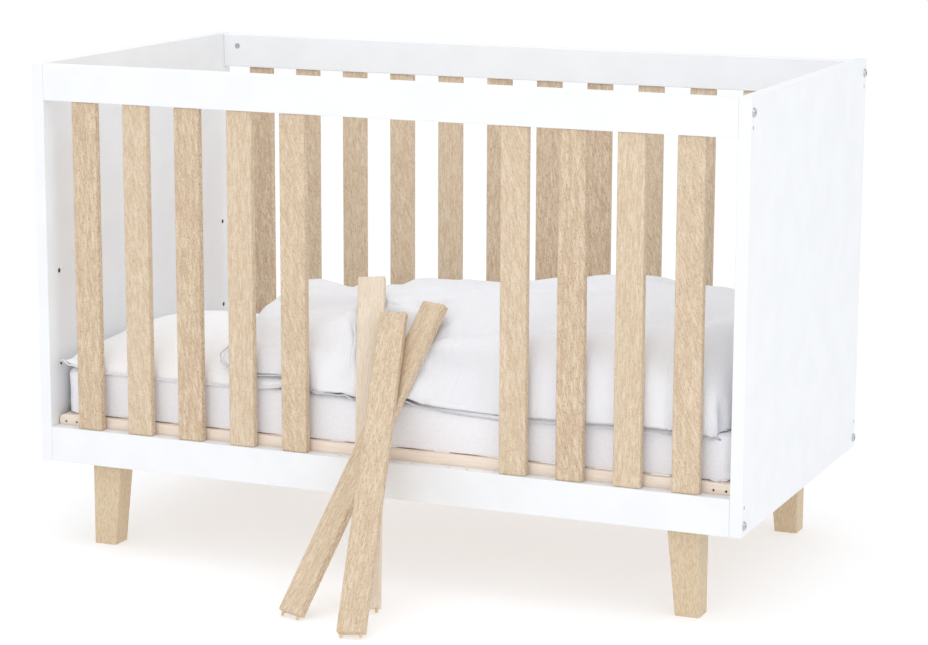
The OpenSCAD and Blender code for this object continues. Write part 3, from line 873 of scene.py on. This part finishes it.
class CRIB_OT_duvet(bpy.types.Operator):
    """Make the duvet, which lies in a high soft heap over the mattress and the pillow's end"""

    bl_idname = "crib.duvet"
    bl_label = "Duvet"

    # share of the loft along the crest, by distance from the crib's centre in metres
    CREST = (
        (-0.4, 0.5),
        (-0.2, 0.72),
        (-0.08, 0.80),
        (0.03, 0.91),
        (0.2, 0.93),
        (0.33, 0.99),
        (0.5, 1.0),
        (0.7, 0.82),
    )
    # where the crest lies, from front to back
    CREST_Y = -80 * MM
    # how full the heap is across its width: 2 is an ellipse, and more is squarer
    FULLNESS = 2.6
    # share of the length over which the left and the right end round off
    LEFT_END, RIGHT_END = 0.05, 0.07
    # how far the duvet's end lies over the pillow, past the plain solid
    OVER_PILLOW = 125 * MM
    # how far its front corner is lifted to lie up on the pillow, and where that begins and ends
    LIFT = 30 * MM
    LIFT_FROM, LIFT_TO = -0.32, -0.12
    # how far the duvet starts above what it lies on, and its least thickness in the heap
    CLEAR = 3 * MM
    THIN = 26 * MM
    # the gap below a leaning slat, and how steeply the duvet rises beside the slat
    SLAT_GAP = 9 * MM
    SLAT_SLOPE = 0.3

    def execute(self, context):
        finishes, bedding, _ = props()
        low = Vector((DUVET_LOW.x - self.OVER_PILLOW, MATTRESS_LOW.y - 2 * MM, 0))
        high = Vector((DUVET_HIGH.x - 2 * MM, DUVET_HIGH.y, 0))
        size = high - low
        duvet = closed_grid("duvet_soft", size.x, size.y, bedding.cloth_step)
        self.shape(duvet, size, (low + high) / 2, bedding)
        walls = sorted_nodes("front_slat_") + sorted_nodes("back_slat_") + sorted_nodes("takeout_slat_")
        rig = stand_in("cloth_walls", walls + ["right_end_panel"])
        around = [rig, bpy.data.objects["mattress_core"], bpy.data.objects["pillow_soft"]]
        settle(duvet, around, pressure=2.2, slack=0.07, frames=26, cap=40 * MM, weight=0.25)
        bpy.data.objects.remove(rig)
        wrinkle(duvet, depth=3.5 * MM, long=0.13, short=0.05, turn=28)
        pucker(duvet, size)
        subdivide(duvet)
        # the greyer copy of the pillow's cotton, with painted shade against the strong light on the heap
        mat = cotton("duvet_cotton", finishes.duvet_cover_painted_shade, thread=1.8, crease=34, depth=1.4)
        duvet.data.materials.append(mat)
        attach(duvet, BEDDING)
        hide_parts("duvet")
        piping(duvet, bedding.piping, BEDDING, "duvet_cotton", mat)
        return {"FINISHED"}

    def shape(self, obj, size, centre, bedding):
        """The heap before it settles: steep to the front, crest before the middle, thin over the pillow."""
        graph = bpy.context.evaluated_depsgraph_get()
        ground = BVHTree.FromObject(bpy.data.objects["pillow_soft"], graph)
        leaning = stand_in("leaning_slats", sorted_nodes("takeout_slat_"))
        slats = BVHTree.FromObject(leaning, bpy.context.evaluated_depsgraph_get())
        bpy.data.objects.remove(leaning)
        above = Vector((0, 0, 1))
        crest = (self.CREST_Y - centre.y) / size.y + 0.5
        bm = bmesh.new()
        bm.from_mesh(obj.data)
        side = bm.faces.layers.int["side"]
        for vert in bm.verts:
            # share of the length from the left end, and of the width from the front
            u = (vert.co.x + size.x / 2) / size.x
            v = (vert.co.y + size.y / 2) / size.y
            place = Vector((vert.co.x + centre.x, vert.co.y + centre.y, 0))
            place.y += 4 * MM * noise.noise(Vector((place.x / 0.11, place.y / 0.11, 3.7)))
            hit = ground.ray_cast(place + above, -above)[0]
            floor = max(MATTRESS_HIGH.z, hit.z if hit else 0) + self.CLEAR
            by_left = 1 - smooth_step(place.x, self.LIFT_FROM, self.LIFT_TO)
            lift = self.LIFT * by_left * (1 - smooth_step(v, 0.0, 0.2))
            off = (crest - v) / crest if v < crest else (v - crest) / (1 - crest)
            across = max(0.0, 1 - min(1.0, off) ** self.FULLNESS) ** 0.5
            ends = round_off(u / self.LEFT_END) * round_off((1 - u) / self.RIGHT_END)
            rise = bedding.duvet_loft * between(self.CREST, place.x) * across * ends
            lumps = 1 + 0.07 * noise.noise(Vector((place.x / 0.17, place.y / 0.13, 1.3)))
            top = max(floor + 4 * MM, MATTRESS_HIGH.z + rise * lumps)
            sides = {f[side] for f in vert.link_faces}
            if len(sides) == 2:
                place.z = floor + 2 * MM + lift
            elif sides == {1}:
                place.z = min(max(top, floor + self.THIN * across * ends), self.headroom(slats, place))
            else:
                place.z = floor + 0.8 * lift
            vert.co = place
        bm.to_mesh(obj.data)
        bm.free()

    def headroom(self, slats, place):
        """Height that the leaning slats leave for the duvet at a place, found by looking up from the mattress
        there and at steps of 15 mm to both sides."""
        up = Vector((0, 0, 1))
        room = 1.0
        for step in range(-8, 9):
            aside = step * 15 * MM
            hit = slats.ray_cast(Vector((place.x + aside, place.y, MATTRESS_HIGH.z)), up)[0]
            if hit:
                room = min(room, hit.z - self.SLAT_GAP + self.SLAT_SLOPE * abs(aside))
        return max(room, MATTRESS_HIGH.z + 8 * MM)


class CRIB_PT_panel(bpy.types.Panel):
    """The crib's parts, in the order in which they are made"""

    bl_idname = "CRIB_PT_panel"
    bl_label = "Baby Crib"
    bl_space_type = "VIEW_3D"
    bl_region_type = "UI"
    bl_category = "Crib"

    def draw(self, context):
        for operator in OPERATORS:
            self.layout.operator(operator.bl_idname)
        for group in props():
            column = self.layout.column(align=True)
            for name in group.__annotations__:
                column.prop(group, name)


GROUPS = {"crib_finishes": CribFinishes, "crib_bedding": CribBedding, "crib_stage": CribStage}
OPERATORS = (
    CRIB_OT_stage,
    CRIB_OT_boards,
    CRIB_OT_slats,
    CRIB_OT_legs,
    CRIB_OT_base,
    CRIB_OT_fittings,
    CRIB_OT_mattress,
    CRIB_OT_pillow,
    CRIB_OT_duvet,
)


def register():
    """Makes the crib's settings, operators and panel known to Blender."""
    for cls in (*GROUPS.values(), *OPERATORS, CRIB_PT_panel):
        bpy.utils.register_class(cls)
    for name, group in GROUPS.items():
        setattr(bpy.types.Scene, name, bpy.props.PointerProperty(type=group))


def unregister():
    """Takes them away again."""
    for name in GROUPS:
        delattr(bpy.types.Scene, name)
    for cls in reversed((*GROUPS.values(), *OPERATORS, CRIB_PT_panel)):
        bpy.utils.unregister_class(cls)


def main():
    """Runs every operator in order."""
    register()
    for operator in OPERATORS:
        category, name = operator.bl_idname.split(".")
        getattr(getattr(bpy.ops, category), name)()


if __name__ == "__main__":
    main()
